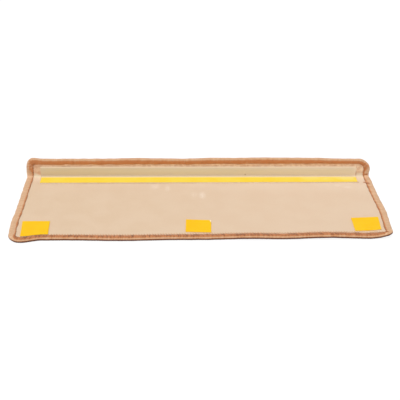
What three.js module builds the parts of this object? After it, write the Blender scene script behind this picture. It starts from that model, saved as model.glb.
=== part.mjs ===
// A carpet stair tread mat with a folded nosing lip, lying with its pile down and its lip standing up.
// Millimetres, +Z up, +X along the step, the lip at the +Y side, the floor at z = 0.
// Every cloth piece is drawn flat and is then folded over the nosing, so one fold places them all:
// u runs along the step, v from the near edge over the fold to the lip's top, w up through the thickness.

import * as THREE from "three";

// The mat as it is sold
const treadWidth = 650;
const treadDepth = 239;
const lipHeight = 42;
const foldRadius = 10;
const nearLeftRadius = 18;
const nearRightRadius = 9;
const lipRightRadius = 25;
const lipLeftRadius = 16;
const tightestRadius = 2;

// The carpet's layers, and the gap that glued or sewn pieces keep between their faces
const pileThickness = 3.3;
const backingThickness = 1.2;
const seat = 0.25;

// The overlocked edge: yarn wrapped round the rim, wider at the two ends than along the step
const yarnThickness = 1.1;
const yarnWrapDepth = 2.6;
const bandWidth = 10.2;
const nearBandGrowth = 2;
const endBandWidth = 12.5;
const bandShoulder = 4;
const bandInnerDrop = 0.4;
const pileSpringWidth = 6;

// Where the overlocking ends over its own start, on the right end of the tread
const lapFromFold = 19;
const lapLength = 16;
const lapRise = 1.3;

// The plastic angle behind the fold, its tape and the tape's yellow liner
const angleFromEnd = 26.5;
const angleThickness = 1.1;
const angleTreadFlange = 29.6;
const angleLipFlange = 21;
const tapeThickness = 0.4;
const tapeWidth = 22.8;
const tapeFromAngleEnd = 2.5;
const tapeFromFlangeEdge = 0.3;
const flangeTaper = { left: -0.8, right: 1.8 };
const linerThickness = 0.2;
const linerOverhang = 0.4;

// The three adhesive squares along the near edge, cut by hand and a little out of square
const leftPadSize = 45.7;
const middlePadSize = 43;
const rightPadSize = 48;
const leftPadLean = -2.2;
const middlePadLean = -1.5;
const rightPadLean = 4.4;
const padThickness = 0.5;
const padLinerMargin = 0.3;
const endPadFromEnd = 43.5;
const leftPadFromEdge = 33.9;
const middlePadFromEdge = 38.4;
const rightPadFromEdge = 43;
const middlePadOffset = -7;
const middlePadTurn = -4;
const rightPadTurn = 4;

// How the cloth lies: its rim swells out and in, its free edges ripple up, and its near right corner curls
const bulgeReach = 45;
const nearBulges = [
  { fromLeft: 24, out: 7.5, spread: 34 },
  { fromLeft: 190, out: 2.6, spread: 95 },
];
const leftBulges = [
  { fromNear: 60, out: 1.2, spread: 36 },
  { fromNear: 12, out: -1.1, spread: 30 },
];
const rightBulges = [{ fromNear: 100, out: 1.4, spread: 45 }];
const rippleReach = 75;
const nearRipples = [
  { fromRight: 245, rise: 1.6, spread: 85 },
  { fromRight: 115, rise: 3, spread: 95 },
];
const cornerCurl = { rise: 7.5, reach: 48 };
const cornerTuck = { inward: 7, back: 4, reach: 90 };
const lipRipples = [
  { fromRight: 642, rise: 2.4, spread: 26 },
  { fromRight: 440, rise: 1.3, spread: 85 },
  { fromRight: 295, rise: 1.6, spread: 70 },
  { fromRight: 205, rise: 2.6, spread: 85 },
  { fromRight: 120, rise: 1.8, spread: 75 },
];

// How finely the cloth is divided
const foldSteps = 5;
const cornerSteps = 5;
const sleeveSteps = 4;
const rippleSteps = 5;
const flatSteps = 6;
const fieldSteps = 22;
const lapSteps = 4;
const padSteps = 4;
const rimSteps = [0, 1.2, 4.2, 9];
const endSteps = [0, 5, 10, 15, 21, 28, 36, 44, 53];

const yarnTop = yarnThickness;
const pileLow = yarnTop + seat;
const pileTop = pileLow + pileThickness;
const backingLow = pileTop + seat;
const backingTop = backingLow + backingThickness;
const slotTop = backingTop + seat;
const bandTop = slotTop + yarnThickness;

const halfWidth = treadWidth / 2;
const flatRun = treadDepth - foldRadius;
const foldRun = (Math.PI / 2) * (foldRadius - backingTop / 2);
const cutLength = flatRun + foldRun + lipHeight - foldRadius;
const lapPlace = flatRun - lapFromFold;

// A smooth step from 0 to 1
function ease(share) {
  const held = Math.min(Math.max(share, 0), 1);
  return held * held * (3 - 2 * held);
}

// A rounded hump of height 1, which is nothing beyond its spread
function hump(distance, spread) {
  return ease(1 - Math.abs(distance) / spread);
}

// Folds a point of the flat mat over the nosing.
function fold(u, v, w) {
  if (v <= flatRun) return new THREE.Vector3(u, v - treadDepth / 2, w);
  if (v >= flatRun + foldRun) {
    return new THREE.Vector3(u, treadDepth / 2 - w, foldRadius + v - flatRun - foldRun);
  }
  const turn = ((v - flatRun) / foldRun) * (Math.PI / 2);
  const reach = foldRadius - w;
  const foldStart = treadDepth / 2 - foldRadius;
  return new THREE.Vector3(u, foldStart + reach * Math.sin(turn), foldRadius - reach * Math.cos(turn));
}

// Lays the folded cloth as it rests: it moves near its free edges and stays flat at the nosing.
function lay(u, v, w) {
  const point = fold(u, v, w);
  const fromRight = halfWidth - u;
  const fromLeft = halfWidth + u;
  const nearShare = ease(1 - v / rippleReach);
  for (const ripple of nearRipples) {
    point.z += ripple.rise * nearShare * hump(fromRight - ripple.fromRight, ripple.spread);
  }
  const fromCorner = Math.hypot(Math.max(fromRight, 0), Math.max(v, 0));
  point.z += cornerCurl.rise * Math.max(0, 1 - fromCorner / cornerCurl.reach) ** 2;
  const tuck = Math.max(0, 1 - fromCorner / cornerTuck.reach) ** 2;
  point.x -= cornerTuck.inward * tuck;
  point.y += cornerTuck.back * tuck;
  const edgeShare = ease(1 - v / bulgeReach);
  for (const bulge of nearBulges) {
    point.y -= bulge.out * edgeShare * hump(fromLeft - bulge.fromLeft, bulge.spread);
  }
  for (const bulge of leftBulges) {
    point.x -= bulge.out * ease(1 - fromLeft / bulgeReach) * hump(v - bulge.fromNear, bulge.spread);
  }
  for (const bulge of rightBulges) {
    point.x += bulge.out * ease(1 - fromRight / bulgeReach) * hump(v - bulge.fromNear, bulge.spread);
  }
  const lipFree = foldRadius + angleLipFlange;
  const lipShare = ease((point.z - lipFree) / (lipHeight - lipFree)) * (v > flatRun ? 1 : 0);
  for (const ripple of lipRipples) {
    point.z += ripple.rise * lipShare * hump(fromRight - ripple.fromRight, ripple.spread);
  }
  return point;
}

const cornerRadii = [nearRightRadius, lipRightRadius, lipLeftRadius, nearLeftRadius];

// The corner of the mat's outline, numbered from the near right one and set in by a share of the band.
function cornerAt(index, inset) {
  const long = inset.long;
  const end = inset.end;
  const radius = Math.max(cornerRadii[index] - (long + end) / 2, tightestRadius);
  const side = index < 2 ? 1 : -1;
  const u = side * (halfWidth - end - radius);
  const v = index === 0 || index === 3 ? long + radius : cutLength - long - radius;
  return { u, v, radius };
}

// An inward distance, which counts for more at the two ends, where the band is wider
function insetOf(inward) {
  return { long: inward, end: (inward * endBandWidth) / bandWidth };
}

// Values from start to end in even steps, both included
function steps(start, end, count) {
  return Array.from({ length: count + 1 }, (_, i) => start + ((end - start) * i) / count);
}

// The carpet's own edge, held in the yarn's slot
const carpetInset = insetOf(yarnWrapDepth);
carpetInset.long += seat;
carpetInset.end += seat;

// The lines from the near edge to the fold that the carpet and the edging share
const nearStraight = Math.max(nearLeftRadius, nearRightRadius, bandWidth + tightestRadius) + 1;
const rippleRows = steps(nearStraight, rippleReach, rippleSteps);
const flatRows = steps(rippleReach, flatRun, flatSteps).slice(1);
const foldRows = steps(flatRun, flatRun + foldRun, foldSteps).slice(1);
const sharedRows = [...rippleRows, ...flatRows, ...foldRows];

// The edging's own lines at its two ends, with more of them over the lap
const lapRows = steps(lapPlace - lapLength / 2, lapPlace + lapLength / 2, lapSteps);
const plainRows = sharedRows.filter((v) => Math.abs(v - lapPlace) > lapLength / 2);
const endRows = [...plainRows, ...lapRows].sort((a, b) => a - b);

// The lines from end to end that they share, closest together near the two ends
const carpetEdge = halfWidth - carpetInset.end;
const fieldEdge = carpetEdge - endSteps.at(-1);
const leftColumns = endSteps.map((step) => step - carpetEdge);
const rightColumns = endSteps.map((step) => carpetEdge - step).reverse();
const columns = [...leftColumns, ...steps(-fieldEdge, fieldEdge, fieldSteps).slice(1, -1), ...rightColumns];

// The columns that lie clear of the two corners of one long edge
function columnsBetween(...radii) {
  const corner = Math.max(...radii, endBandWidth + tightestRadius) + 1;
  return columns.filter((u) => Math.abs(u) < halfWidth - corner);
}

// One closed list of places round the outline. Each gives its point of the flat mat for any inset.
function rimPlaces() {
  const places = [];
  const addCorner = (index) => {
    for (const turn of steps((index - 1) * (Math.PI / 2), index * (Math.PI / 2), cornerSteps)) {
      places.push((inset) => {
        const { u, v, radius } = cornerAt(index, inset);
        return [u + radius * Math.cos(turn), v + radius * Math.sin(turn)];
      });
    }
  };
  const addEnd = (side, rows) => {
    for (const v of rows) places.push((inset) => [side * (halfWidth - inset.end), v]);
  };
  addCorner(0);
  addEnd(1, endRows);
  addCorner(1);
  for (const u of columnsBetween(lipRightRadius, lipLeftRadius).reverse()) {
    places.push((inset) => [u, cutLength - inset.long]);
  }
  addCorner(2);
  addEnd(-1, [...endRows].reverse());
  addCorner(3);
  for (const u of columnsBetween(nearLeftRadius, nearRightRadius)) {
    const growth = (nearBandGrowth * (u + halfWidth)) / treadWidth;
    places.push((inset) => [u, inset.long + growth * (inset.long / bandWidth) ** 2]);
  }
  return places;
}

// The yarn's section, from its lower inner lip round the outside to its upper one, then the slot it grips with
function bandSection() {
  const outer = steps(-Math.PI / 2, Math.PI / 2, sleeveSteps).map((turn) => ({
    inward: bandShoulder * (1 - Math.cos(turn)),
    w: (bandTop / 2) * (1 + Math.sin(turn)),
    outer: true,
  }));
  return [
    { inward: bandWidth, w: 0 },
    ...outer,
    { inward: (bandShoulder + bandWidth) / 2, w: bandTop - bandInnerDrop / 3, outer: true },
    { inward: bandWidth, w: bandTop - bandInnerDrop },
    { inward: bandWidth, w: slotTop },
    { inward: yarnWrapDepth, w: slotTop },
    { inward: yarnWrapDepth, w: yarnTop },
    { inward: bandWidth, w: yarnTop },
  ];
}

// The overlocked edge is a torus whose rings become yarn sections placed round the outline.
function edgeSerging() {
  const places = rimPlaces();
  const section = bandSection();
  const geometry = new THREE.TorusGeometry(2, 1, section.length, places.length);
  const position = geometry.getAttribute("position");
  for (let ring = 0; ring <= section.length; ring += 1) {
    const knot = section[ring % section.length];
    for (let step = 0; step <= places.length; step += 1) {
      const [u, v] = places[step % places.length](insetOf(knot.inward));
      const onLap = u > 0 && knot.outer ? hump(v - lapPlace, lapLength / 2) : 0;
      const w = knot.w > backingTop ? knot.w + lapRise * onLap : knot.w;
      const point = lay(u + (knot.w > yarnTop ? lapRise * onLap * 0.5 : 0), v, w);
      position.setXYZ(ring * (places.length + 1) + step, point.x, point.y, point.z);
    }
  }
  return geometry;
}

// How far a point of the flat mat is inside the outline that is set in by the given amounts
function insideBy(u, v, inset) {
  const index = u > 0 ? (v < cutLength / 2 ? 0 : 1) : v < cutLength / 2 ? 3 : 2;
  const corner = cornerAt(index, inset);
  const toEnd = Math.abs(u) - Math.abs(corner.u);
  const toLong = index === 0 || index === 3 ? corner.v - v : v - corner.v;
  if (toEnd > 0 && toLong > 0) return corner.radius - Math.hypot(toEnd, toLong);
  return corner.radius - Math.max(toEnd, toLong);
}

// How far a row's end draws in at the rounded corners of the cloth's own outline
function drawnIn(side, v, inset) {
  const index = v < cutLength / 2 ? (side > 0 ? 0 : 3) : side > 0 ? 1 : 2;
  const { v: centre, radius } = cornerAt(index, inset);
  const past = Math.max(index === 0 || index === 3 ? centre - v : v - centre, 0);
  return radius - Math.sqrt(Math.max(radius * radius - past * past, 0));
}

// One layer of the carpet, its edge held in the yarn's slot. The level functions give its two faces.
function carpetLayer(lowLevel, highLevel) {
  const nearRows = rimSteps.map((step) => carpetInset.long + step);
  const lipRows = rimSteps.map((step) => cutLength - carpetInset.long - step).reverse();
  const rows = [...nearRows, ...sharedRows, ...lipRows];
  const geometry = new THREE.BoxGeometry(1, 1, 1, columns.length - 1, rows.length - 1, 1);
  const position = geometry.getAttribute("position");
  for (let i = 0; i < position.count; i += 1) {
    const column = columns[Math.round((position.getX(i) + 0.5) * (columns.length - 1))];
    const v = rows[Math.round((position.getY(i) + 0.5) * (rows.length - 1))];
    const fromEdge = carpetEdge - Math.abs(column);
    const rimShare = Math.max(0, 1 - fromEdge / endSteps.at(-1));
    const u = column - Math.sign(column) * drawnIn(Math.sign(column), v, carpetInset) * rimShare;
    const level = position.getZ(i) > 0 ? highLevel : lowLevel;
    const point = lay(u, v, level(u, v));
    position.setXYZ(i, point.x, point.y, point.z);
  }
  return geometry;
}

// The pile is pinched under the yarn and springs back to the floor inside it.
function pileUnderside(u, v) {
  const inside = insideBy(u, v, insetOf(bandWidth)) - nearBandGrowth - 2 * seat;
  return pileLow * (1 - ease(inside / pileSpringWidth));
}

// A thin square laid on the backing, divided so that it follows the cloth
function padLayer(pad, size, low, high) {
  const geometry = new THREE.BoxGeometry(size, size, high - low, padSteps, padSteps, 1);
  geometry.rotateZ(THREE.MathUtils.degToRad(pad.turn));
  const position = geometry.getAttribute("position");
  for (let i = 0; i < position.count; i += 1) {
    const along = position.getX(i) + (pad.lean * position.getY(i)) / pad.size;
    const w = position.getZ(i) > 0 ? high : low;
    const point = lay(pad.u + along, pad.v + position.getY(i), w);
    position.setXYZ(i, point.x, point.y, point.z);
  }
  return geometry;
}

const angleLow = backingTop + seat;
const angleTop = angleLow + angleThickness;
const angleLength = treadWidth - 2 * angleFromEnd;
const angleBack = treadDepth / 2 - angleLow;
const angleFace = angleBack - angleThickness;

// The plastic angle is one extrusion: two flanges with a heel that follows the fold.
function nosingAngle() {
  const heel = foldRadius - angleLow;
  const shape = new THREE.Shape();
  shape.moveTo(angleBack - angleTreadFlange, angleLow);
  shape.lineTo(angleBack - heel, angleLow);
  shape.absarc(angleBack - heel, angleLow + heel, heel, -Math.PI / 2, 0, false);
  shape.lineTo(angleBack, angleLow + angleLipFlange);
  shape.lineTo(angleFace, angleLow + angleLipFlange);
  shape.lineTo(angleFace, angleLow + heel);
  shape.absarc(angleBack - heel, angleLow + heel, heel - angleThickness, 0, -Math.PI / 2, true);
  shape.lineTo(angleBack - angleTreadFlange, angleTop);
  shape.closePath();
  const options = { depth: angleLength, bevelEnabled: false, curveSegments: 5 };
  const geometry = new THREE.ExtrudeGeometry(shape, options);
  geometry.translate(0, 0, -angleLength / 2);
  const axes = new THREE.Matrix4().makeBasis(
    new THREE.Vector3(0, 1, 0),
    new THREE.Vector3(0, 0, 1),
    new THREE.Vector3(1, 0, 0),
  );
  return taperNearEdge(geometry.applyMatrix4(axes));
}

// Cuts a piece's near edge a little askew, so that it is narrower at its right end than at its left.
function taperNearEdge(geometry) {
  const position = geometry.getAttribute("position");
  const nearZone = angleBack - angleTreadFlange + tapeWidth / 2;
  for (let i = 0; i < position.count; i += 1) {
    if (position.getY(i) > nearZone) continue;
    const back = position.getX(i) < 0 ? flangeTaper.left : flangeTaper.right;
    position.setY(i, position.getY(i) + back);
  }
  return geometry;
}

// A flat strip on the angle's tread flange, measured from the flange's near edge
function flangeStrip(length, width, low, thickness) {
  const centre = angleBack - angleTreadFlange + tapeFromFlangeEdge + tapeWidth / 2;
  return taperNearEdge(new THREE.BoxGeometry(length, width, thickness).translate(0, centre, low + thickness / 2));
}

const backingCloth = new THREE.MeshStandardMaterial({ color: 0xe6cbaf, roughness: 0.92 });
const carpetPile = new THREE.MeshStandardMaterial({ color: 0xb9825a, roughness: 0.98 });
const edgeYarn = new THREE.MeshStandardMaterial({ color: 0xc98a5c, roughness: 0.85 });
const clearPlastic = new THREE.MeshStandardMaterial({ color: 0xd6bf97, roughness: 0.45 });
const tapeFilm = new THREE.MeshStandardMaterial({ color: 0xeeeadf, roughness: 0.6 });
const linerPaper = new THREE.MeshStandardMaterial({ color: 0xffcb29, roughness: 0.55 });

const mat = new THREE.Group();

function add(name, geometry, material) {
  const mesh = new THREE.Mesh(geometry, material);
  mesh.name = name;
  mat.add(mesh);
}

add("pile_carpet", carpetLayer(pileUnderside, () => pileTop), carpetPile);
add("backing_cloth", carpetLayer(() => backingLow, () => backingTop), backingCloth);
add("edge_serging", edgeSerging(), edgeYarn);
add("nosing_angle", nosingAngle(), clearPlastic);

const nosingTapeLow = angleTop + seat;
const nosingLinerLow = nosingTapeLow + tapeThickness + seat;
const tapeLength = angleLength - 2 * tapeFromAngleEnd;
const linerWidth = tapeWidth + linerOverhang;
const linerLength = tapeLength + 2 * linerOverhang;
add("nosing_tape", flangeStrip(tapeLength, tapeWidth, nosingTapeLow, tapeThickness), tapeFilm);
add("nosing_tape_liner", flangeStrip(linerLength, linerWidth, nosingLinerLow, linerThickness), linerPaper);

const endPad = halfWidth - endPadFromEnd;
const pads = [
  { name: "left_pad", size: leftPadSize, u: -endPad, v: leftPadFromEdge, turn: 0, lean: leftPadLean },
  { name: "middle_pad", size: middlePadSize, u: middlePadOffset, v: middlePadFromEdge, turn: middlePadTurn, lean: middlePadLean },
  { name: "right_pad", size: rightPadSize, u: endPad, v: rightPadFromEdge, turn: rightPadTurn, lean: rightPadLean },
];
const padLow = backingTop + seat;
const padTop = padLow + padThickness;
const padLinerLow = padTop + seat;
for (const pad of pads) {
  add(pad.name, padLayer(pad, pad.size - 2 * padLinerMargin, padLow, padTop), tapeFilm);
  add(`${pad.name}_liner`, padLayer(pad, pad.size, padLinerLow, padLinerLow + linerThickness), linerPaper);
}

// The origin is the middle of the mat's footprint on the floor.
const footprint = new THREE.Box3().setFromObject(mat);
const centre = footprint.getCenter(new THREE.Vector3());
mat.position.set(-centre.x, -centre.y, -footprint.min.z);

export default mat;
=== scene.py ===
import math
import random

import bmesh
import bpy
from mathutils import Matrix, Vector, noise


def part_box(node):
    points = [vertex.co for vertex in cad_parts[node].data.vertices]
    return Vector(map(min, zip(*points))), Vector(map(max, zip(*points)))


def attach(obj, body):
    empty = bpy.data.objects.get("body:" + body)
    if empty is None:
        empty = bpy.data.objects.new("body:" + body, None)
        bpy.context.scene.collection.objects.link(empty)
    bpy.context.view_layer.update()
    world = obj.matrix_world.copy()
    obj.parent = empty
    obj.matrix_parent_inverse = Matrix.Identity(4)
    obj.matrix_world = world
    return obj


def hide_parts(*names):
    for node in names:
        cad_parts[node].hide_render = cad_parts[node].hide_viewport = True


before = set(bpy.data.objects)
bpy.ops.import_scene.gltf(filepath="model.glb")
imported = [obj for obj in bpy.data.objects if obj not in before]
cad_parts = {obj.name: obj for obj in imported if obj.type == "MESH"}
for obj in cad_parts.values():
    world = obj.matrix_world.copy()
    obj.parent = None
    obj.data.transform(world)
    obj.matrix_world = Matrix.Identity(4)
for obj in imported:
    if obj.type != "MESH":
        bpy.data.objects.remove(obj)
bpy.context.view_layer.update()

# The carpet
# A cloth about 6 mm thick with a short cut pile, cut to 650 by 272 mm and folded once over the stair's
# nosing. It lies upside down: its pile is on the floor, and its tufts show on the outside of the lip.

# Sizes are in millimetres. u runs along the step, v from the near edge over the fold to the top of the
# lip, and w up through the thickness from the tips of the pile.
mm = 0.001
tread_width = 650
tread_depth = 239
lip_height = 42
fold_radius = 10
near_right_radius = 9
lip_right_radius = 25
lip_left_radius = 16
near_left_radius = 18
tightest_radius = 2
pile_thickness = 3.3
backing_thickness = 1.2
seat = 0.25
yarn_thickness = 1.1
yarn_wrap_depth = 2.6
band_width = 10.2
end_band_width = 12.5
near_band_growth = 2
tuft_spacing = 1.4
tuft_depth = 1.5
tuft_scatter = 0.5
back_ratio = 4
corner_reach = 53
pinch_reach = 6

# How the cloth lies. A ripple is its place from the right, its rise and its spread. A swelling of the rim
# is its place, how far it comes out, and its spread. Its place is taken from the left on the near edge,
# and from the near edge on the ends.
ripple_reach = 75
near_ripples = ((245, 1.6, 85), (115, 3, 95))
lip_ripples = ((642, 2.4, 26), (440, 1.3, 85), (295, 1.6, 70), (205, 2.6, 85), (120, 1.8, 75))
bulge_reach = 45
edge_bulges = ((24, 7.5, 34), (190, 2.6, 95))
left_bulges = ((60, 1.2, 36), (12, -1.1, 30))
right_bulges = ((100, 1.4, 45),)
curl_rise, curl_reach = 7.5, 48
tuck_inward, tuck_back, tuck_reach = 7, 4, 90

pile_top = yarn_thickness + seat + pile_thickness
backing_top = pile_top + seat + backing_thickness
slot_top = backing_top + seat
half_width = tread_width / 2
flat_run = tread_depth - fold_radius
fold_run = math.pi / 2 * (fold_radius - backing_top / 2)
cut_length = flat_run + fold_run + lip_height - fold_radius

# The angle is centred on the step, and its back stands on the lip's backing, so it gives the mat's place.
angle_low, angle_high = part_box("nosing_angle")
along_step = (angle_low.x + angle_high.x) / 2
to_lip = angle_high.y - (tread_depth / 2 - slot_top) * mm
lip_free = (angle_high.z / mm, lip_height)


def ease(share):
    """A smooth step from 0 to 1."""
    held = min(max(share, 0), 1)
    return held * held * (3 - 2 * held)


def hump(distance, spread):
    """A rounded hump of height 1, which is nothing beyond its spread."""
    return ease(1 - abs(distance) / spread)


def fold(u, v, w):
    """Folds a point of the flat mat over the nosing."""
    if v <= flat_run:
        return Vector((u, v - tread_depth / 2, w))
    if v >= flat_run + fold_run:
        return Vector((u, tread_depth / 2 - w, fold_radius + v - flat_run - fold_run))
    turn = (v - flat_run) / fold_run * math.pi / 2
    reach = fold_radius - w
    fold_start = tread_depth / 2 - fold_radius
    return Vector((u, fold_start + reach * math.sin(turn), fold_radius - reach * math.cos(turn)))


def lay(u, v, w):
    """Lays the folded cloth as it rests, in metres: moved near its free edges, and flat at the nosing."""
    point = fold(u, v, w)
    from_right = half_width - u
    from_left = half_width + u
    near_share = ease(1 - v / ripple_reach)
    for place, rise, spread in near_ripples:
        point.z += rise * near_share * hump(from_right - place, spread)
    from_corner = math.hypot(max(from_right, 0), max(v, 0))
    point.z += curl_rise * max(0, 1 - from_corner / curl_reach) ** 2
    tuck = max(0, 1 - from_corner / tuck_reach) ** 2
    point.x -= tuck_inward * tuck
    point.y += tuck_back * tuck
    edge_share = ease(1 - v / bulge_reach)
    for place, out, spread in edge_bulges:
        point.y -= out * edge_share * hump(from_left - place, spread)
    for place, out, spread in left_bulges:
        point.x -= out * ease(1 - from_left / bulge_reach) * hump(v - place, spread)
    for place, out, spread in right_bulges:
        point.x += out * ease(1 - from_right / bulge_reach) * hump(v - place, spread)
    if v > flat_run:
        lip_share = ease((point.z - lip_free[0]) / (lip_free[1] - lip_free[0]))
        for place, rise, spread in lip_ripples:
            point.z += rise * lip_share * hump(from_right - place, spread)
    return point * mm + Vector((along_step, to_lip, 0))


# The outline's corners, round from the near right one: the side, whether it is on the lip, and its radius.
corners = ((1, 0, near_right_radius), (1, 1, lip_right_radius),
           (-1, 1, lip_left_radius), (-1, 0, near_left_radius))


def inset_of(inward):
    """An inward distance along the long edges, and at the two ends, where the yarn's band is wider."""
    return inward, inward * end_band_width / band_width


def corner_at(index, inset):
    """The centre and radius of one of the outline's four corners, set in from the edge."""
    side, on_lip, outer_radius = corners[index]
    long, end = inset
    radius = max(outer_radius - (long + end) / 2, tightest_radius)
    v = cut_length - long - radius if on_lip else long + radius
    return side * (half_width - end - radius), v, radius


def drawn_in(u, v, inset):
    """How far a row of the cloth draws in at the outline's rounded corners."""
    index = (0 if u > 0 else 3) if v < cut_length / 2 else (1 if u > 0 else 2)
    centre, radius = corner_at(index, inset)[1:]
    past = max(centre - v if v < cut_length / 2 else v - centre, 0)
    return radius - math.sqrt(max(radius * radius - past * past, 0))


carpet_inset = tuple(inset + seat for inset in inset_of(yarn_wrap_depth))


def cloth_grid(bm, along, across, level):
    """A sheet of the mat's outline, divided along and across it and laid at its level of the thickness."""
    edge_u = half_width - carpet_inset[1]
    edge_v = cut_length - carpet_inset[0]
    made = bmesh.ops.create_grid(bm, x_segments=along, y_segments=across, size=1)["verts"]
    flat = {}
    for vert in made:
        column = vert.co.x * edge_u
        v = carpet_inset[0] + (vert.co.y + 1) / 2 * (edge_v - carpet_inset[0])
        rim_share = max(0, 1 - (edge_u - abs(column)) / corner_reach)
        u = column - math.copysign(drawn_in(column, v, carpet_inset) * rim_share, column)
        cell = (round((vert.co.x + 1) / 2 * along), round((vert.co.y + 1) / 2 * across))
        flat[vert] = (u, v, cell)
        vert.co = lay(*level(u, v, cell))
    return flat


def finish_cloth(name, bm, flat, back):
    """Joins a cloth's face to its back round the rim, and keeps the flat cut as its UV map."""
    rims = [edge for edge in bm.edges if edge.is_boundary]
    bmesh.ops.bridge_loops(bm, edges=rims)
    bmesh.ops.recalc_face_normals(bm, faces=bm.faces)
    flat.update(back)
    uv = bm.loops.layers.uv.new("cut")
    for face in bm.faces:
        face.smooth = True
        for loop in face.loops:
            loop[uv].uv = Vector(flat[loop.vert][:2]) * mm
    return finish_piece(name, bm)


def finish_piece(name, bm):
    """Turns a finished bmesh into a piece that rides on the mat."""
    mesh = bpy.data.meshes.new(name)
    bm.to_mesh(mesh)
    bm.free()
    piece = bpy.data.objects.new(name, mesh)
    bpy.context.scene.collection.objects.link(piece)
    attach(piece, "root")
    return piece


def tuft_chances(cell):
    """Three random shares for one point of the pile: how deep it lies between tufts, and its two shifts."""
    chances = random.Random(cell[0] * 977 + cell[1])
    return chances.random(), chances.uniform(-1, 1), chances.uniform(-1, 1)


def from_edge(u, v):
    """How far in a point is from the nearest edge, with the ends counted by their wider band."""
    to_end = (half_width - abs(u)) * band_width / end_band_width
    return min(v, cut_length - v, to_end)


def pile_level(u, v, cell):
    """The pile's uneven face: tips on the floor and gaps between them, pinched flat at the edging."""
    loose = ease((from_edge(u, v) - band_width - near_band_growth) / pinch_reach)
    gap, along, across = tuft_chances(cell)
    w = (yarn_thickness + seat) * (1 - loose) + tuft_depth * gap * loose
    return u + tuft_scatter * along * loose, v + tuft_scatter * across * loose, w


bm = bmesh.new()
tip_layer = bm.verts.layers.float.new("tip")
back_columns = round(tread_width / tuft_spacing / back_ratio)
back_rows = round(cut_length / tuft_spacing / back_ratio)
face = cloth_grid(bm, back_ratio * back_columns, back_ratio * back_rows, pile_level)
for vert, (u, v, cell) in face.items():
    vert[tip_layer] = 1 - tuft_chances(cell)[0]
back = cloth_grid(bm, back_columns, back_rows, lambda u, v, cell: (u, v, pile_top))
carpet = finish_cloth("carpet_pile", bm, face, back)
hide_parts("pile_carpet")
cut_length * mm


class Shade:
    """One value or colour of a material. An expression on it adds the Math nodes that work it out."""

    def __init__(self, tree, socket=None):
        self.tree = tree
        self.socket = socket

    def node(self, kind, settings=None, inputs=None, output=0):
        """Adds a node: its settings first, then the values or links of its sockets."""
        made = self.tree.nodes.new(kind)
        for name, value in (settings or {}).items():
            setattr(made, name, value)
        for name, value in (inputs or {}).items():
            if isinstance(value, Shade):
                self.tree.links.new(value.socket, made.inputs[name])
            else:
                made.inputs[name].default_value = value
        return Shade(self.tree, made.outputs[output] if made.outputs else None)

    def maths(self, operation, *values):
        return self.node("ShaderNodeMath", {"operation": operation}, dict(enumerate(values)))

    def __add__(self, other):
        return self.maths("ADD", self, other)

    def __sub__(self, other):
        return self.maths("SUBTRACT", self, other)

    def __rsub__(self, other):
        return self.maths("SUBTRACT", other, self)

    def __mul__(self, other):
        return self.maths("MULTIPLY", self, other)

    __radd__ = __add__
    __rmul__ = __mul__

    def step(self, low, high):
        """A smooth step: 0 up to low and 1 from high."""
        inputs = {"Value": self, "From Min": low, "From Max": high}
        return self.node("ShaderNodeMapRange", {"interpolation_type": "SMOOTHSTEP"}, inputs)

    def tinted(self, factors):
        """This colour with its parts multiplied."""
        settings = {"data_type": "RGBA", "blend_type": "MULTIPLY", "clamp_result": False}
        return self.node("ShaderNodeMix", settings, {0: 1.0, 6: self, 7: factors}, 2)

    def mix(self, plain, other):
        """The plain colour where this value is 0, and the other one where it is 1."""
        return self.node("ShaderNodeMix", {"data_type": "RGBA"}, {0: self, 6: plain, 7: other}, 2)

    def greater(self, other):
        """The greater of this value and another one."""
        return self.maths("MAXIMUM", self, other)

    def parts(self):
        """The x, y and z of this place."""
        outputs = self.node("ShaderNodeSeparateXYZ", None, {"Vector": self}).socket.node.outputs
        return [Shade(self.tree, output) for output in outputs]

    def away_from(self, centre, scale=(1, 1, 1)):
        """How far this place is from a centre, with each direction multiplied by its scale."""
        shift = self.node("ShaderNodeVectorMath", {"operation": "SUBTRACT"}, {0: self, 1: centre})
        scaled = self.node("ShaderNodeVectorMath", {"operation": "MULTIPLY"}, {0: shift, 1: scale})
        return self.node("ShaderNodeVectorMath", {"operation": "LENGTH"}, {0: scaled}, 1)


def srgb(red, green, blue):
    """A colour given from 0 to 255 as the eye sees it, as the linear one that a material takes."""
    shares = [value / 255 for value in (red, green, blue)]
    return tuple(s / 12.92 if s <= 0.04045 else ((s + 0.055) / 1.055) ** 2.4 for s in shares) + (1,)


def new_material(name, roughness, sheen=0.0, gloss=0.5):
    """A material with its shader, and the place where its expressions start."""
    material = bpy.data.materials.new(name)
    material.use_nodes = True
    shader = material.node_tree.nodes["Principled BSDF"]
    shader.inputs["Roughness"].default_value = roughness
    shader.inputs["Sheen Weight"].default_value = sheen
    shader.inputs["Sheen Roughness"].default_value = 0.6
    shader.inputs["Specular IOR Level"].default_value = gloss
    return material, Shade(material.node_tree), shader


def paint(material, shader, colour, height, distance, roughness=None):
    """Puts a worked-out colour, bump height and roughness on a material's shader."""
    tree = material.node_tree
    tree.links.new(colour.socket, shader.inputs["Base Color"])
    if roughness:
        tree.links.new(roughness.socket, shader.inputs["Roughness"])
    bump = height.node("ShaderNodeBump", None, {"Height": height, "Distance": distance, "Strength": 0.7})
    tree.links.new(bump.socket, shader.inputs["Normal"])


def grain(start, place, scale, detail=2.0, stretch=(1, 1, 1)):
    """A random pattern at so many cells to the metre, drawn out by the stretch."""
    spread = start.node("ShaderNodeMapping", None, {"Vector": place, "Scale": stretch})
    return start.node("ShaderNodeTexNoise", None, {"Vector": spread, "Scale": scale, "Detail": detail})


def cut_place(start, uv_map):
    """The place on the flat cut, which follows the cloth over the fold."""
    return start.node("ShaderNodeUVMap", {"uv_map": uv_map})


def vertex_value(start, name):
    """A value that the piece carries at its vertices."""
    return start.node("ShaderNodeAttribute", {"attribute_name": name}, None, 2)


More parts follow.
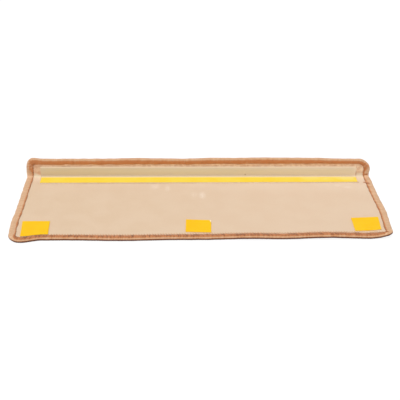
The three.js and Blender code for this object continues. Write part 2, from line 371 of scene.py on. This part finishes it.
material, start, shader = new_material("short_brown_pile", 0.95, sheen=0.2)
place = cut_place(start, "cut")
tip = vertex_value(start, "tip")
fibre = grain(start, place, 1500, 4)
patch = grain(start, place, 16, 3)
# The gaps between the tufts are darker as painted shade. The fibre and patch noise are the pile's own tone.
tone = tip * 0.45 + fibre.step(0.3, 0.7) * 0.55 + (patch - 0.5) * 0.3
colour = tone.step(0.05, 0.95).mix(srgb(138, 88, 56), srgb(236, 184, 142))
paint(material, shader, colour, fibre, 0.0016)
carpet.data.materials.append(material)

# The backing
# A cream non-woven cloth, laminated to the back of the carpet. It faces up, and the thread that holds the
# edging pulls it down a little all round. The photo shows pale rub marks on it near the yellow strip.
stitch_pitch = 4.6
stitch_inward = band_width + 2.3
pucker = 0.12
pucker_reach = 5
pucker_length = 4 * stitch_pitch
near_edge_gap = 20
unevenness = 0.16
uneven_reach = 8
long_wave, short_wave = 38, 11
backing_columns, backing_rows = 300, 126
backing_back_ratio = 3
left_bend_end, right_bend_end = (-0.309, -0.298), (0.29, 0.3)
left_lip_end = (-0.303, -0.296)

# A rub mark is its place in x and y, its half length, its half breadth and how strongly it shows.
rub_marks = ((-83, 74, 10, 12, 0.6), (-60, 67, 6, 14, 0.6), (3, 39, 7, 16, 0.8), (-12, 42, 7, 12, 0.35),
             (257, 79, 8, 7, 0.6), (275, 71, 10, 6, 0.6))


def backing_level(u, v, cell):
    """The cloth's face, a little uneven, and drawn down along the edging."""
    inside = from_edge(u, v) - stitch_inward
    drawn = hump(inside, pucker_reach)
    pull_place = u if abs(inside - v) > near_edge_gap else v
    pull = 0.5 + 0.5 * math.cos(2 * math.pi * pull_place / pucker_length)
    wave = noise.noise(Vector((u, v, 0)) / long_wave) + 0.4 * noise.noise(Vector((u, v, 50)) / short_wave)
    return u, v, backing_top + unevenness * wave * ease(inside / uneven_reach) - pucker * drawn * pull


bm = bmesh.new()
face = cloth_grid(bm, backing_columns, backing_rows, backing_level)
back = cloth_grid(bm, backing_columns // backing_back_ratio, backing_rows // backing_back_ratio,
                  lambda u, v, cell: (u, v, backing_top - backing_thickness))
backing = finish_cloth("backing", bm, face, back)
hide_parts("backing_cloth")
cut_length * mm


def own_place(start):
    """The place in the piece's own frame, in metres."""
    return start.node("ShaderNodeTexCoord", None, None, 3)


def threads(start, place, direction):
    """The even bands of one set of the cloth's threads."""
    bands = {"Vector": place, "Scale": 150.0, "Distortion": 1.0}
    return start.node("ShaderNodeTexWave", {"bands_direction": direction}, bands, 1)


def up_from_fold(up_cloth, low, high):
    """0 below and 1 above a line across the cloth, both given from the start of the fold."""
    return up_cloth.step((flat_run + low) * mm, (flat_run + high) * mm)


material, start, shader = new_material("cream_backing_cloth", 0.9, sheen=0.05)
place = cut_place(start, "cut")
at = own_place(start)
x = at.parts()[0]
up_cloth = place.parts()[1]
patch = grain(start, place, 24, 3)
fleck = grain(start, place, 420, 4)
blot = grain(start, place, 150, 2)
warp = threads(start, place, "X")
weft = threads(start, place, "Y")
across = x.step(-0.3, 0.3)
colour = across.mix(srgb(222, 193, 161), srgb(227, 198, 169))
mottle = patch.step(0.35, 0.65) * 0.45 + fleck.step(0.35, 0.65) * 0.3 + warp * weft * 0.3
colour = (mottle * 0.8).mix(colour, srgb(230, 204, 176))
for mark_x, mark_y, half_length, half_breadth, strength in rub_marks:
    shape = (1 / (half_length * mm), 1 / (half_breadth * mm), 0)
    away = at.away_from((mark_x * mm, mark_y * mm, 0), shape)
    rubbed = (1 - away.step(0.2, 1.2)) * fleck.step(0.3, 0.6) * strength
    colour = rubbed.mix(colour, srgb(245, 224, 204))
# Painted light: the cloth in front of the strip is paler, most on the right, against the strip's shade.
painted_light_by_strip = up_from_fold(up_cloth, -80, -18) * (0.1 + across * 0.4) * (patch + 0.3)
colour = painted_light_by_strip.mix(colour, srgb(240, 219, 195))
colour = (up_from_fold(up_cloth, -22, -4) * 0.7).mix(colour, srgb(240, 218, 192))
colour = up_from_fold(up_cloth, -2, 3).mix(colour, srgb(237, 219, 190))
pale_bend = 0.007 * (1 - x.step(*left_bend_end)) + 0.006 * x.step(*right_bend_end)
ragged_up = up_cloth - pale_bend + (patch - 0.5) * 0.012 + (fleck - 0.5) * 0.008
# Up the lip the cloth is painted paler, as painted light on its upright face, and pinker as its own tone.
up_lip = up_from_fold(ragged_up, 5, 11)
colour = up_lip.mix(colour, blot.step(0.35, 0.65).mix(srgb(228, 188, 154), srgb(250, 220, 188)))
# Painted shade: the left end of the lip is darker, in brownish blotches.
left_lip_shade = (1 - x.step(*left_lip_end)) * up_lip
colour = (left_lip_shade * (0.5 + 0.5 * blot.step(0.55, 0.4))).mix(colour, srgb(224, 180, 145))
paint(material, shader, colour, warp * weft + fleck, 0.00012)
backing.data.materials.append(material)

# The overlocked edge
# One brown yarn, wrapped round the carpet's rim by the overlocking machine about every 2 mm. It ends over
# its own start on the right end, where the lap is thicker and the cut tail points inwards.
band_top = slot_top + yarn_thickness
wrap_pitch = 2.1
wrap_lean = 1.4
wrap_relief = 0.42
wrap_steps = 4
wrap_middle = 0.4
ring_spacing = 1.7
arc_steps = 8
merge_distance = 0.00001
band_shoulder = 4
band_inner_drop = 1.1
waver = 1.5
waver_length = 14
waver_middle = 0.4
scallop = 0.35
lip_narrowing = (-0.5, 1.3)
lap_place = flat_run - 19
lap_length = 16
lap_rise = 1.3
crease_place = flat_run + 10.5
crease_width = 4.5
crease_depth = 1
crease_swell = 1.2
crease_shade = 0.9
growth_fall = 40
rim_tooth = 0.4
furthest_out = -0.4
floor_gap = 0.02

# How pale the yarn shows is 1 on its shoulder, less where it is orange and under 0 where it is dark.
# The dark at the floor is painted shade, and so is the darker mid-tone of the ends up the lip. The extra
# paleness at the ends' bend is painted light.
# Up the lip the ends' yarn falls into painted shade, from so far above the fold on the right and on the
# left.
right_shade_start, left_shade_start = 17, 15
inner_shade, lost_on_lip = 0.76, 0.23
lip_end_shade_tone, lip_end_shade_fall = 0.68, 0.16
bend_painted_light = 0.3
floor_shade_tone = -0.4
floor_shade_height = 4.2


def rim_point(leg, share, inset):
    """A point of the flat outline: even legs are its corners from the near right one, odd ones its sides."""
    u, v, radius = corner_at(leg // 2, inset)
    if leg % 2 == 0:
        turn = (leg // 2 - 1 + share) * math.pi / 2
        return u + radius * math.cos(turn), v + radius * math.sin(turn)
    turn = leg // 2 * math.pi / 2
    next_u, next_v, next_radius = corner_at((leg // 2 + 1) % 4, inset)
    start = Vector((u + radius * math.cos(turn), v + radius * math.sin(turn)))
    end = Vector((next_u + next_radius * math.cos(turn), next_v + next_radius * math.sin(turn)))
    point = start.lerp(end, share)
    if leg == 7:
        growth = near_band_growth * share * ease((1 - share) * growth_fall)
        point.y += growth * (inset[0] / band_width) ** 2
    return tuple(point)


def leg_length(leg):
    """The length of one leg of the outline at its outer edge."""
    if leg % 2 == 0:
        return corner_at(leg // 2, (0, 0))[2] * math.pi / 2
    return (Vector(rim_point(leg, 1, (0, 0))) - Vector(rim_point(leg, 0, (0, 0)))).length


leg_ends = [sum(leg_length(leg) for leg in range(count + 1)) for count in range(8)]
perimeter = leg_ends[-1]


def rim_at(run, inset):
    """The point of the flat outline after a run along it, and how far round the legs that is."""
    run %= perimeter
    leg = next(index for index, end in enumerate(leg_ends) if run <= end)
    share = 1 - (leg_ends[leg] - run) / leg_length(leg)
    return *rim_point(leg, share, inset), leg + share


def drawn_back(leg_place, u):
    """How much narrower the band is along the top of the lip, from its left end to its right one."""
    leg, share = int(leg_place), leg_place % 1
    on_top = {2: share, 3: 1, 4: 1 - share}.get(leg, 0)
    left, right = lip_narrowing
    return ease(on_top) * (left + (right - left) * (u / half_width + 1) / 2)


def band_section():
    """The yarn's section, from its lower inner lip round the outside to its upper one, then its slot."""
    section = [(band_width, 0.15, 1), (7, 0, 1)]
    for step in range(arc_steps + 1):
        turn = math.radians(-90 + 180 / arc_steps * step)
        section.append((band_shoulder * (1 - math.cos(turn)), band_top / 2 * (1 + math.sin(turn)), 1))
    for share in (0.3, 0.55, 0.78, 0.95):
        inward = band_shoulder + (band_width - band_shoulder) * share
        section.append((inward, band_top - band_inner_drop * share * share, 1))
    section.append((band_width + 0.2, slot_top - 0.05, 1))
    section += [(band_width - 0.6, slot_top - 0.2, 0), (yarn_wrap_depth, slot_top, 0)]
    section += [(yarn_wrap_depth, yarn_thickness, 0), (band_width - 0.6, yarn_thickness, 0)]
    return section


def band_tone(leg_place, inward, w, v):
    """How pale the yarn shows: pale on its shoulder and at the ends, orange inside, painted shade at the
    floor.
    """
    on_tread = 1 - ease((v - flat_run) / 8)
    leg, share = int(leg_place), ease(leg_place % 1)
    shade_start_height = right_shade_start if leg < 3 else left_shade_start
    shade_from = flat_run + shade_start_height + 6 * (1 - ease(inward / 8))
    up_lip = ease((v - shade_from) / 10)
    before_corner = 0.5 * ease((leg_place - 7.985) / 0.015)
    by_leg = {0: 0.5 + 0.5 * share, 1: 1, 2: 1 - share, 4: share, 5: 1, 6: 1 - share, 7: before_corner}
    at_end = by_leg.get(leg, 0)
    end_on_tread = at_end * (1 - up_lip)
    pale_to = 1.3 + 1.1 * up_lip + 7.5 * end_on_tread
    inner = ease((inward - pale_to + 0.6) / 1.4) if w > band_top / 2 else 1 - on_tread
    tone = 1 - (inner_shade - lost_on_lip * up_lip) * inner
    # Painted shade: up the lip the ends' yarn is drawn to a darker mid-tone, which darkens further inwards.
    end_on_lip = at_end * up_lip
    tone += ((lip_end_shade_tone - lip_end_shade_fall * ease((inward - 4) / 3)) - tone) * end_on_lip
    # Painted light: the ends' yarn is paler where it turns over the fold.
    tone += bend_painted_light * at_end * hump(v - flat_run - 6, 14)
    # Painted shade: the yarn darkens from its underside towards the floor along the tread.
    floor_shade = (1 - ease(w - floor_shade_height) - 0.3 * (1 - ease(w / 2))) * on_tread
    blotch = noise.noise(Vector((inward, leg_place * 60, w)) / 3)
    return (tone - end_on_lip * blotch) * (1 - floor_shade) + floor_shade_tone * floor_shade


section = band_section()
slot_start = len(section) - 4
wraps = round(perimeter / wrap_pitch)
wrap_heights = (-1, 0.3, 1, 0.3)
random.seed(5)
wrap_size = [random.uniform(0.6, 1.15) for _ in range(wraps)]
wrap_shift = [random.uniform(-0.12, 0.12) for _ in range(wraps)]
wrap_shade = [random.random() for _ in range(wraps)]
bm = bmesh.new()
tone_layer = bm.verts.layers.float.new("tone")
shade_layer = bm.verts.layers.float.new("wrap")
grid = bmesh.ops.create_grid(bm, x_segments=wraps * wrap_steps, y_segments=len(section), size=1)["verts"]
run_of = {}
for vert in grid:
    column = round((vert.co.x + 1) / 2 * wraps * wrap_steps)
    ring = round((vert.co.y + 1) / 2 * len(section)) % len(section)
    wrap = column // wrap_steps % wraps
    inward, w, outer = section[ring]
    run = (column / wrap_steps + wrap_shift[wrap] * (column % wrap_steps > 0)) * perimeter / wraps
    run_of[vert] = (column / wrap_steps * perimeter / wraps, ring * ring_spacing)
    run += wrap_lean * perimeter / wraps * min(ring, slot_start) / len(section)
    core = (max(inward, band_shoulder), band_top / 2)
    outwards = Vector((inward - core[0], w - core[1])).normalized()
    bulge = wrap_relief / 2 * (wrap_heights[column % wrap_steps] * wrap_size[wrap] - wrap_middle) * outer
    inward += outwards.x * bulge
    if inward > band_shoulder:
        u, v, leg_place = rim_at(run, inset_of(inward))
        to_inside = (inward - band_shoulder) / (band_width - band_shoulder)
        inward -= drawn_back(leg_place, u) * to_inside
        inward += scallop * to_inside ** 3 * math.cos(2 * math.pi * run / stitch_pitch)
    if ring in (0, slot_start - 1):
        inward += rim_tooth * (wrap_heights[column % wrap_steps] > 0)
    u, v, leg_place = rim_at(run, inset_of(inward))
    wave = noise.noise(Vector((u, v, 0)) / waver_length) * waver
    crease_side = hump(v - crease_place, 3 * crease_width) if u > 0 else 0
    if outer:
        from_rim = max(inward / band_width, 0)
        inward += wave * (from_rim - waver_middle) + crease_swell * crease_side * (1 - from_rim)
        u, v, leg_place = rim_at(run, inset_of(max(inward, furthest_out)))
    on_lap = hump(v - lap_place, lap_length / 2) if u > 0 and outer else 0
    creased = hump(v - crease_place, crease_width) * (1 - ease((inward - 7) / 3)) if u > 0 and outer else 0
    vert[tone_layer] = band_tone(leg_place, inward, w, v) - crease_shade * creased
    vert[shade_layer] = wrap_shade[wrap]
    w += outwards.y * bulge + (lap_rise * on_lap - crease_depth * creased if w > backing_top else 0)
    vert.co = lay(u + (lap_rise * on_lap * 0.5 if w > yarn_thickness else 0), v, max(w, floor_gap))
uv = bm.loops.layers.uv.new("yarn")
for face in bm.faces:
    for loop in face.loops:
        loop[uv].uv = Vector(run_of[loop.vert]) * mm


def close_yarn(name, bm):
    """Closes a tube of yarn where the edges of its grid meet, and makes it a piece."""
    bmesh.ops.remove_doubles(bm, verts=bm.verts, dist=merge_distance)
    bmesh.ops.recalc_face_normals(bm, faces=bm.faces)
    piece = finish_piece(name, bm)
    piece.data.shade_smooth()
    return piece


edging = close_yarn("edge_yarn_wraps", bm)
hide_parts("edge_serging")

material, start, shader = new_material("brown_edge_yarn", 0.85, sheen=0.1)
place = cut_place(start, "yarn")
pale = vertex_value(start, "tone")
wrap = vertex_value(start, "wrap")
fibre = grain(start, place, 1500, 3, (1.6, 0.35, 1))
dye = grain(start, place, 60, 3)
speck = grain(start, place, 560, 3, (1, 0.2, 1))
rough_pale = pale + (fibre - 0.5) * 0.3 + (dye - 0.5) * 0.3 + (speck - 0.5) * 0.9 + (wrap - 0.5) * 0.2
# Below 0 the yarn takes the dark browns of the painted shade at the floor and in the crease.
colour = rough_pale.step(-0.5, 0.0).mix(srgb(98, 50, 22), srgb(124, 70, 36))
colour = rough_pale.step(0.0, 0.4).mix(colour, srgb(203, 130, 78))
colour = rough_pale.step(0.5, 0.9).mix(colour, srgb(214, 171, 132))
# Above 0.95 the yarn goes paler still. This comes from random pale specks, and from the painted light at the
# ends' bend.
colour = rough_pale.step(0.95, 1.3).mix(colour, srgb(236, 193, 154))
paint(material, shader, colour, fibre, 0.0003)
edging.data.materials.append(material)

# The needle's stitches and the cut tail
# The machine's needle thread, which comes up through the cloth in a row of small stitches just inside the
# wraps, and the cut end of the yarn, which crosses the edging at the lap.
stitch_steps = 6
thread_sides = 6
thread_radius = 0.6
thread_rise = 0.1
thread_dip = 1.0
tail_path = ((318, 198, 8.2), (314.5, 201.5, 8.8), (311, 204.8, 7.7), (307.5, 207, 6.9))
tail_rings = 24
tail_sides = 8
tail_radius = 0.95
tail_aside = Vector((0.6, 0.8, 0))

bm = bmesh.new()
stitch_count = round(perimeter / stitch_pitch)
rings = stitch_count * stitch_steps
for vert in bmesh.ops.create_grid(bm, x_segments=rings, y_segments=thread_sides, size=1)["verts"]:
    stitch = (vert.co.x + 1) / 2 * stitch_count
    turn = (vert.co.y + 1) * math.pi
    above = ease(4 * math.sin(math.pi * (stitch % 1)) - 2.4)
    run = stitch * perimeter / stitch_count
    u, v, leg_place = rim_at(run, inset_of(stitch_inward))
    inset = inset_of(stitch_inward - drawn_back(leg_place, u) + thread_radius * math.cos(turn))
    u, v, leg_place = rim_at(run, inset)
    on_long_edge = {2: leg_place % 1, 3: 1, 4: 1 - leg_place % 1, 7: 1}.get(int(leg_place), 0)
    w = backing_top + thread_rise - thread_dip * (1 - above * ease(on_long_edge))
    vert.co = lay(u, v, w + thread_radius * math.sin(turn))
stitches = close_yarn("needle_stitches", bm)

bm = bmesh.new()
points = [Vector(point) for point in tail_path]
for vert in bmesh.ops.create_grid(bm, x_segments=tail_rings, y_segments=tail_sides, size=1)["verts"]:
    share = (vert.co.x + 1) / 2
    turn = (vert.co.y + 1) * math.pi
    span = min(int(share * (len(points) - 1)), len(points) - 2)
    centre = points[span].lerp(points[span + 1], share * (len(points) - 1) - span)
    twist = 1 + 0.18 * math.sin(3 * turn + 22 * share)
    radius = tail_radius * twist * (1 - 0.5 * share ** 3) * math.sqrt(max(1 - (2 * share - 1) ** 12, 0))
    aside = tail_aside * radius * math.cos(turn)
    above = Vector((0, 0, 1)) * radius * math.sin(turn)
    vert.co = lay(*(centre + aside + above))
tail = close_yarn("cut_yarn_tail", bm)

for name, piece, dark, light in (("stitch_thread", stitches, srgb(202, 152, 112), srgb(228, 184, 144)),
                                 ("tail_yarn", tail, srgb(206, 140, 102), srgb(230, 176, 138))):
    material, start, shader = new_material(name, 0.85, sheen=0.1)
    at = own_place(start)
    fibre = grain(start, at, 900, 3)
    shift = grain(start, at, 140, 2)
    paint(material, shader, (fibre * 0.5 + shift * 0.5).step(0.3, 0.7).mix(dark, light), fibre, 0.0002)
    piece.data.materials.append(material)

# The plastic angle
# A stiff, cloudy olive plastic strip behind the fold, which keeps the lip square on the stair's nosing.
# It is one extrusion glued to the backing. Its lip flange is the olive band in the photo.
angle_thickness = 1.1
angle_steps = 150
edge_round = 0.35
waviness = 0.1
flange_taper = 2.6
low_x, high_x = angle_low.x, angle_high.x
angle_length = high_x - low_x
front_strip = 0.002

# The dark speck, and where the angle's colours change, in metres from the edge or end that is named.
speck_place = (0.0868, angle_high.y - 0.0011, angle_low.z + 0.0045)
speck_strength = 0.7
margin_below_top = (0.0034, 0.0016)
bend_highlight_above_low = (0.0006, 0.0016)
shade_above_low = (0.0022, 0.0036)
right_end_inward = (0.010, 0.002)
rim_inward = (0.0003, 0.0008)
cut_end_inward = (0.0018, 0.0010)


def angle_profile():
    """The angle's section in y and z: two flanges with rounded edges, and a heel that follows the fold."""
    back, top, front, low = (value / mm for value in (angle_high.y, angle_high.z, angle_low.y, angle_low.z))
    heel = fold_radius - slot_top
    profile = [(front, low + edge_round), (front + edge_round, low)]
    for step in range(arc_steps + 1):
        turn = math.radians(-90 + 90 / arc_steps * step)
        profile.append((back - heel + heel * math.cos(turn), low + heel + heel * math.sin(turn)))
    profile += [(back, top - edge_round), (back - edge_round, top)]
    face = back - angle_thickness
    profile += [(face + edge_round, top), (face, top - edge_round)]
    inner = heel - angle_thickness
    for step in range(arc_steps + 1):
        turn = math.radians(-90 / arc_steps * step)
        profile.append((back - heel + inner * math.cos(turn), low + heel + inner * math.sin(turn)))
    level = low + angle_thickness
    return profile + [(front + edge_round, level), (front, level - edge_round)]


bm = bmesh.new()
ring = [bm.verts.new((low_x, y * mm, z * mm)) for y, z in angle_profile()]
end_face = bm.faces.new(ring)
for step in range(angle_steps):
    made = bmesh.ops.extrude_face_region(bm, geom=[end_face], use_keep_orig=step == 0)["geom"]
    end_face = next(item for item in made if isinstance(item, bmesh.types.BMFace))
    moved = [item for item in made if isinstance(item, bmesh.types.BMVert)]
    bmesh.ops.translate(bm, vec=(angle_length / angle_steps, 0, 0), verts=moved)
for vert in bm.verts:
    if vert.co.y < angle_low.y + front_strip:
        vert.co.y += flange_taper * mm * (vert.co.x - low_x) / angle_length
    free = ease((vert.co.z - angle_low.z) / (angle_high.z - angle_low.z))
    vert.co.y -= waviness * mm * free * (1 + noise.noise(Vector((vert.co.x * 14, 3, 0))))
bmesh.ops.recalc_face_normals(bm, faces=bm.faces)
angle = finish_piece("plastic_angle", bm)
angle.data.shade_smooth()
angle.data.set_sharp_from_angle(angle=math.radians(50))
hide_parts("nosing_angle")

material, start, shader = new_material("cloudy_olive_plastic", 0.42)
at = own_place(start)
x, y, z = at.parts()
streak = grain(start, at, 12, 3, (0.6, 1, 60))
cloud = grain(start, at, 40, 3)
colour = x.step(low_x, 0).mix(srgb(212, 192, 160), srgb(219, 201, 171))
colour = x.step(0, high_x).mix(colour, srgb(226, 207, 180))
low_down = 1 - z.step(angle_low.z + 0.002, angle_high.z - 0.003)
colour = (low_down * 0.8).mix(colour, colour.tinted((1.06, 1.06, 1.1, 1)))
colour = (streak.step(0.35, 0.7) * 0.3).mix(colour, srgb(208, 186, 150))
away = at.away_from(speck_place)
speck = speck_strength - away.step(0.0005, 0.002) * speck_strength
colour = speck.mix(colour, srgb(140, 112, 80))
margin = z.step(*(angle_high.z - below for below in margin_below_top))
# Painted highlight: a cream line along the angle's bend.
bend = 1 - z.step(*(angle_low.z + above for above in bend_highlight_above_low))
over_bend = 1 - z.step(*(angle_low.z + above for above in shade_above_low))
colour = (over_bend * 0.5).mix(colour, srgb(204, 180, 146))
right_end = (x + (cloud - 0.5) * 0.012).step(*(high_x - inward for inward in right_end_inward))
# The cream covers the top margin, the painted highlight at the bend and the right end.
cream = margin.greater(bend).greater(right_end * (0.4 + 0.6 * cloud))
colour = (cream * 0.85).mix(colour, srgb(238, 213, 184))
glue = grain(start, at, 420, 1, (1, 0.2, 0.4)).step(0.4, 0.6)
from_rim = y - (x - low_x) * (flange_taper * mm / angle_length)
rim = 1 - from_rim.step(*(angle_low.y + inward for inward in rim_inward))
colour = (rim * 0.9).mix(colour, glue.mix(srgb(255, 242, 224), srgb(246, 226, 204)))
cut_end = x.step(*(high_x - inward for inward in cut_end_inward))
colour = (cut_end * glue * 0.8).mix(colour, srgb(190, 142, 100))
paint(material, shader, colour, streak, 0.0001, 0.42 + streak * 0.12)
angle.data.materials.append(material)

# The tape and the adhesive squares
# Milky double-sided film, one strip on the angle's tread flange and three squares at the near edge. Only
# its cut edge shows under the liners.
square_cuts = 5
strip_cuts = 120
flat_enough = math.radians(40)
film_drop = 0.8 * seat
shortest_divided = 1


def film(name, node, cuts, lift, material):
    """A film from its plain solid: divided, set down on what it sticks to, and lifted as told."""
    bm = bmesh.new()
    bm.from_mesh(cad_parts[node].data)
    bmesh.ops.remove_doubles(bm, verts=bm.verts, dist=merge_distance)
    bmesh.ops.recalc_face_normals(bm, faces=bm.faces)
    bm.normal_update()
    for vert in bm.verts:
        if vert.normal.z < 0:
            vert.co.z -= film_drop * mm
    bmesh.ops.join_triangles(bm, faces=bm.faces, angle_face_threshold=flat_enough,
                             angle_shape_threshold=flat_enough)
    long = [edge for edge in bm.edges if edge.calc_length() > shortest_divided * mm]
    bmesh.ops.subdivide_edges(bm, edges=long, cuts=cuts, use_grid_fill=True)
    for vert in bm.verts:
        vert.co.z += lift(vert.co)
    piece = finish_piece(name, bm)
    piece.data.shade_smooth()
    piece.data.set_sharp_from_angle(angle=flat_enough)
    piece.data.materials.append(material)
    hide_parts(node)
    return piece


def no_lift(co):
    return 0


material, start, shader = new_material("milky_adhesive_film", 0.5)
at = own_place(start)
bubble = grain(start, at, 700, 3)
colour = bubble.step(0.3, 0.7).mix(srgb(240, 220, 190), srgb(252, 240, 218))
paint(material, shader, colour, bubble, 0.0001)
for side in ("left", "middle", "right"):
    film(f"{side}_square_film", f"{side}_pad", square_cuts, no_lift, material)
film("long_strip_film", "nosing_tape", strip_cuts, no_lift, material)

# The yellow liners
# Thin release film over the adhesive, peeled off before the mat is fitted. The squares were cut by hand,
# and the middle one has a pale clipped corner. The long one is paler, with a paler margin at the bend.
clipped_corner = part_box("middle_pad_liner")[1]
clip_width, clip_depth = 0.003, 0.012
margin_fade = (0.0035, 0.0015)
worn_start, worn_end = (0.1, 0.28), (0.289, 0.295)
worn_fade = (0.019, 0.006)


def liner_material(name, colours, margin=None):
    """Yellow film, faintly mottled, with a soft gloss."""
    material, start, shader = new_material(name, 0.5, gloss=0.15)
    at = own_place(start)
    cloud = grain(start, at, 30, 3)
    scuff = grain(start, at, 260, 4, (1, 3, 1))
    colour = (cloud.step(0.35, 0.65) * 0.6 + scuff.step(0.4, 0.7) * 0.4).mix(*colours)
    if margin:
        x, y = at.parts()[:2]
        edge = y.step(*(margin - inward for inward in margin_fade))
        colour = edge.mix(colour, srgb(254, 232, 160))
        worn_along = x.step(*worn_start) * (1 - x.step(*worn_end))
        worn = worn_along * y.step(*(margin - inward for inward in worn_fade))
        colour = (worn * cloud.step(0.3, 0.6) * 0.6).mix(colour, srgb(255, 232, 150))
    else:
        away = at.away_from(tuple(clipped_corner), (1 / clip_width, 1 / clip_depth, 0))
        colour = away.step(0.7, 1).mix(srgb(255, 236, 200), colour)
    paint(material, shader, colour, scuff, 0.00005, 0.46 + scuff * 0.14)
    return material


def slight_lift(co):
    """The liner's own unevenness."""
    return 0.00012 * (1 + noise.noise(co * 45)) + 0.00004 * noise.noise(co * 160)


square_yellow = liner_material("yellow_liner", (srgb(254, 196, 2), srgb(254, 203, 12)))
for side in ("left", "middle", "right"):
    film(f"{side}_square_liner", f"{side}_pad_liner", square_cuts, slight_lift, square_yellow)
strip_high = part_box("nosing_tape_liner")[1]
strip_yellow = liner_material("pale_yellow_liner", (srgb(255, 217, 66), srgb(255, 224, 86)), strip_high.y)
film("long_strip_liner", "nosing_tape_liner", strip_cuts, slight_lift, strip_yellow)

# The floor and the light
# A plain pale floor that shows white to the camera and still takes the mat's shadow. The light is an even
# pale surround and one wide lamp overhead.
floor_half = 8
bm = bmesh.new()
bmesh.ops.create_grid(bm, x_segments=1, y_segments=1, size=floor_half)
floor_mesh = bpy.data.meshes.new("floor")
bm.to_mesh(floor_mesh)
bm.free()
floor = bpy.data.objects.new("floor", floor_mesh)
bpy.context.scene.collection.objects.link(floor)


def seen_directly(start):
    """1 for what the camera sees, also in a mirror or through glass, and 0 for what lights the mat."""
    rays = start.node("ShaderNodeLightPath").socket.node.outputs
    camera, glossy, through = (Shade(start.tree, rays[name]) for name in
                               ("Is Camera Ray", "Is Glossy Ray", "Is Transmission Ray"))
    return camera.greater(glossy.greater(through))


material = bpy.data.materials.new("pale_floor")
material.use_nodes = True
nodes = material.node_tree.nodes
nodes.clear()
start = Shade(material.node_tree)
shadowed = start.node("ShaderNodeBsdfDiffuse", None, {"Color": (0.17, 0.17, 0.17, 1)})
glow = start.node("ShaderNodeEmission", None, {"Color": (1, 1, 1, 1), "Strength": 0.9})
white = start.node("ShaderNodeAddShader", None, {0: shadowed, 1: glow})
plain = start.node("ShaderNodeBsdfDiffuse", None, {"Color": (0.85, 0.85, 0.85, 1)})
mixed = start.node("ShaderNodeMixShader", None, {0: seen_directly(start), 1: plain, 2: white})
start.node("ShaderNodeOutputMaterial", None, {"Surface": mixed})
floor.data.materials.append(material)

world = bpy.data.worlds.new("pale_studio")
world.use_nodes = True
world.node_tree.nodes.clear()
start = Shade(world.node_tree)
soft = start.node("ShaderNodeBackground", None, {"Color": (1, 1, 1, 1), "Strength": 0.55})
white = start.node("ShaderNodeBackground", None, {"Color": (1, 1, 1, 1), "Strength": 1.0})
mixed = start.node("ShaderNodeMixShader", None, {0: seen_directly(start), 1: soft, 2: white})
start.node("ShaderNodeOutputWorld", None, {"Surface": mixed})
bpy.context.scene.world = world

lamp = bpy.data.lights.new("overhead_light", "SUN")
lamp.energy = 1.6
lamp.angle = math.radians(40)
overhead = bpy.data.objects.new("overhead_light", lamp)
overhead.rotation_euler = (math.radians(18), math.radians(-12), 0)
bpy.context.scene.collection.objects.link(overhead)

# The camera
# It stands where the photograph was taken from: in front of the near edge and above it, a little to the
# left, looking down at the mat.
camera_place = (-0.0510, -1.3513, 0.7160)
camera_turn = math.radians(-2.06)
camera_down = math.radians(27.35)
camera_roll = math.radians(0.83)
lens = bpy.data.cameras.new("camera")
lens.lens = 77.4
camera = bpy.data.objects.new("camera", lens)
turned = Matrix.Rotation(camera_turn, 4, "Z") @ Matrix.Rotation(math.pi / 2 - camera_down, 4, "X")
camera.matrix_world = Matrix.Translation(camera_place) @ turned @ Matrix.Rotation(camera_roll, 4, "Z")
bpy.context.scene.collection.objects.link(camera)
bpy.context.scene.camera = camera
bpy.context.scene.view_settings.view_transform = "Standard"
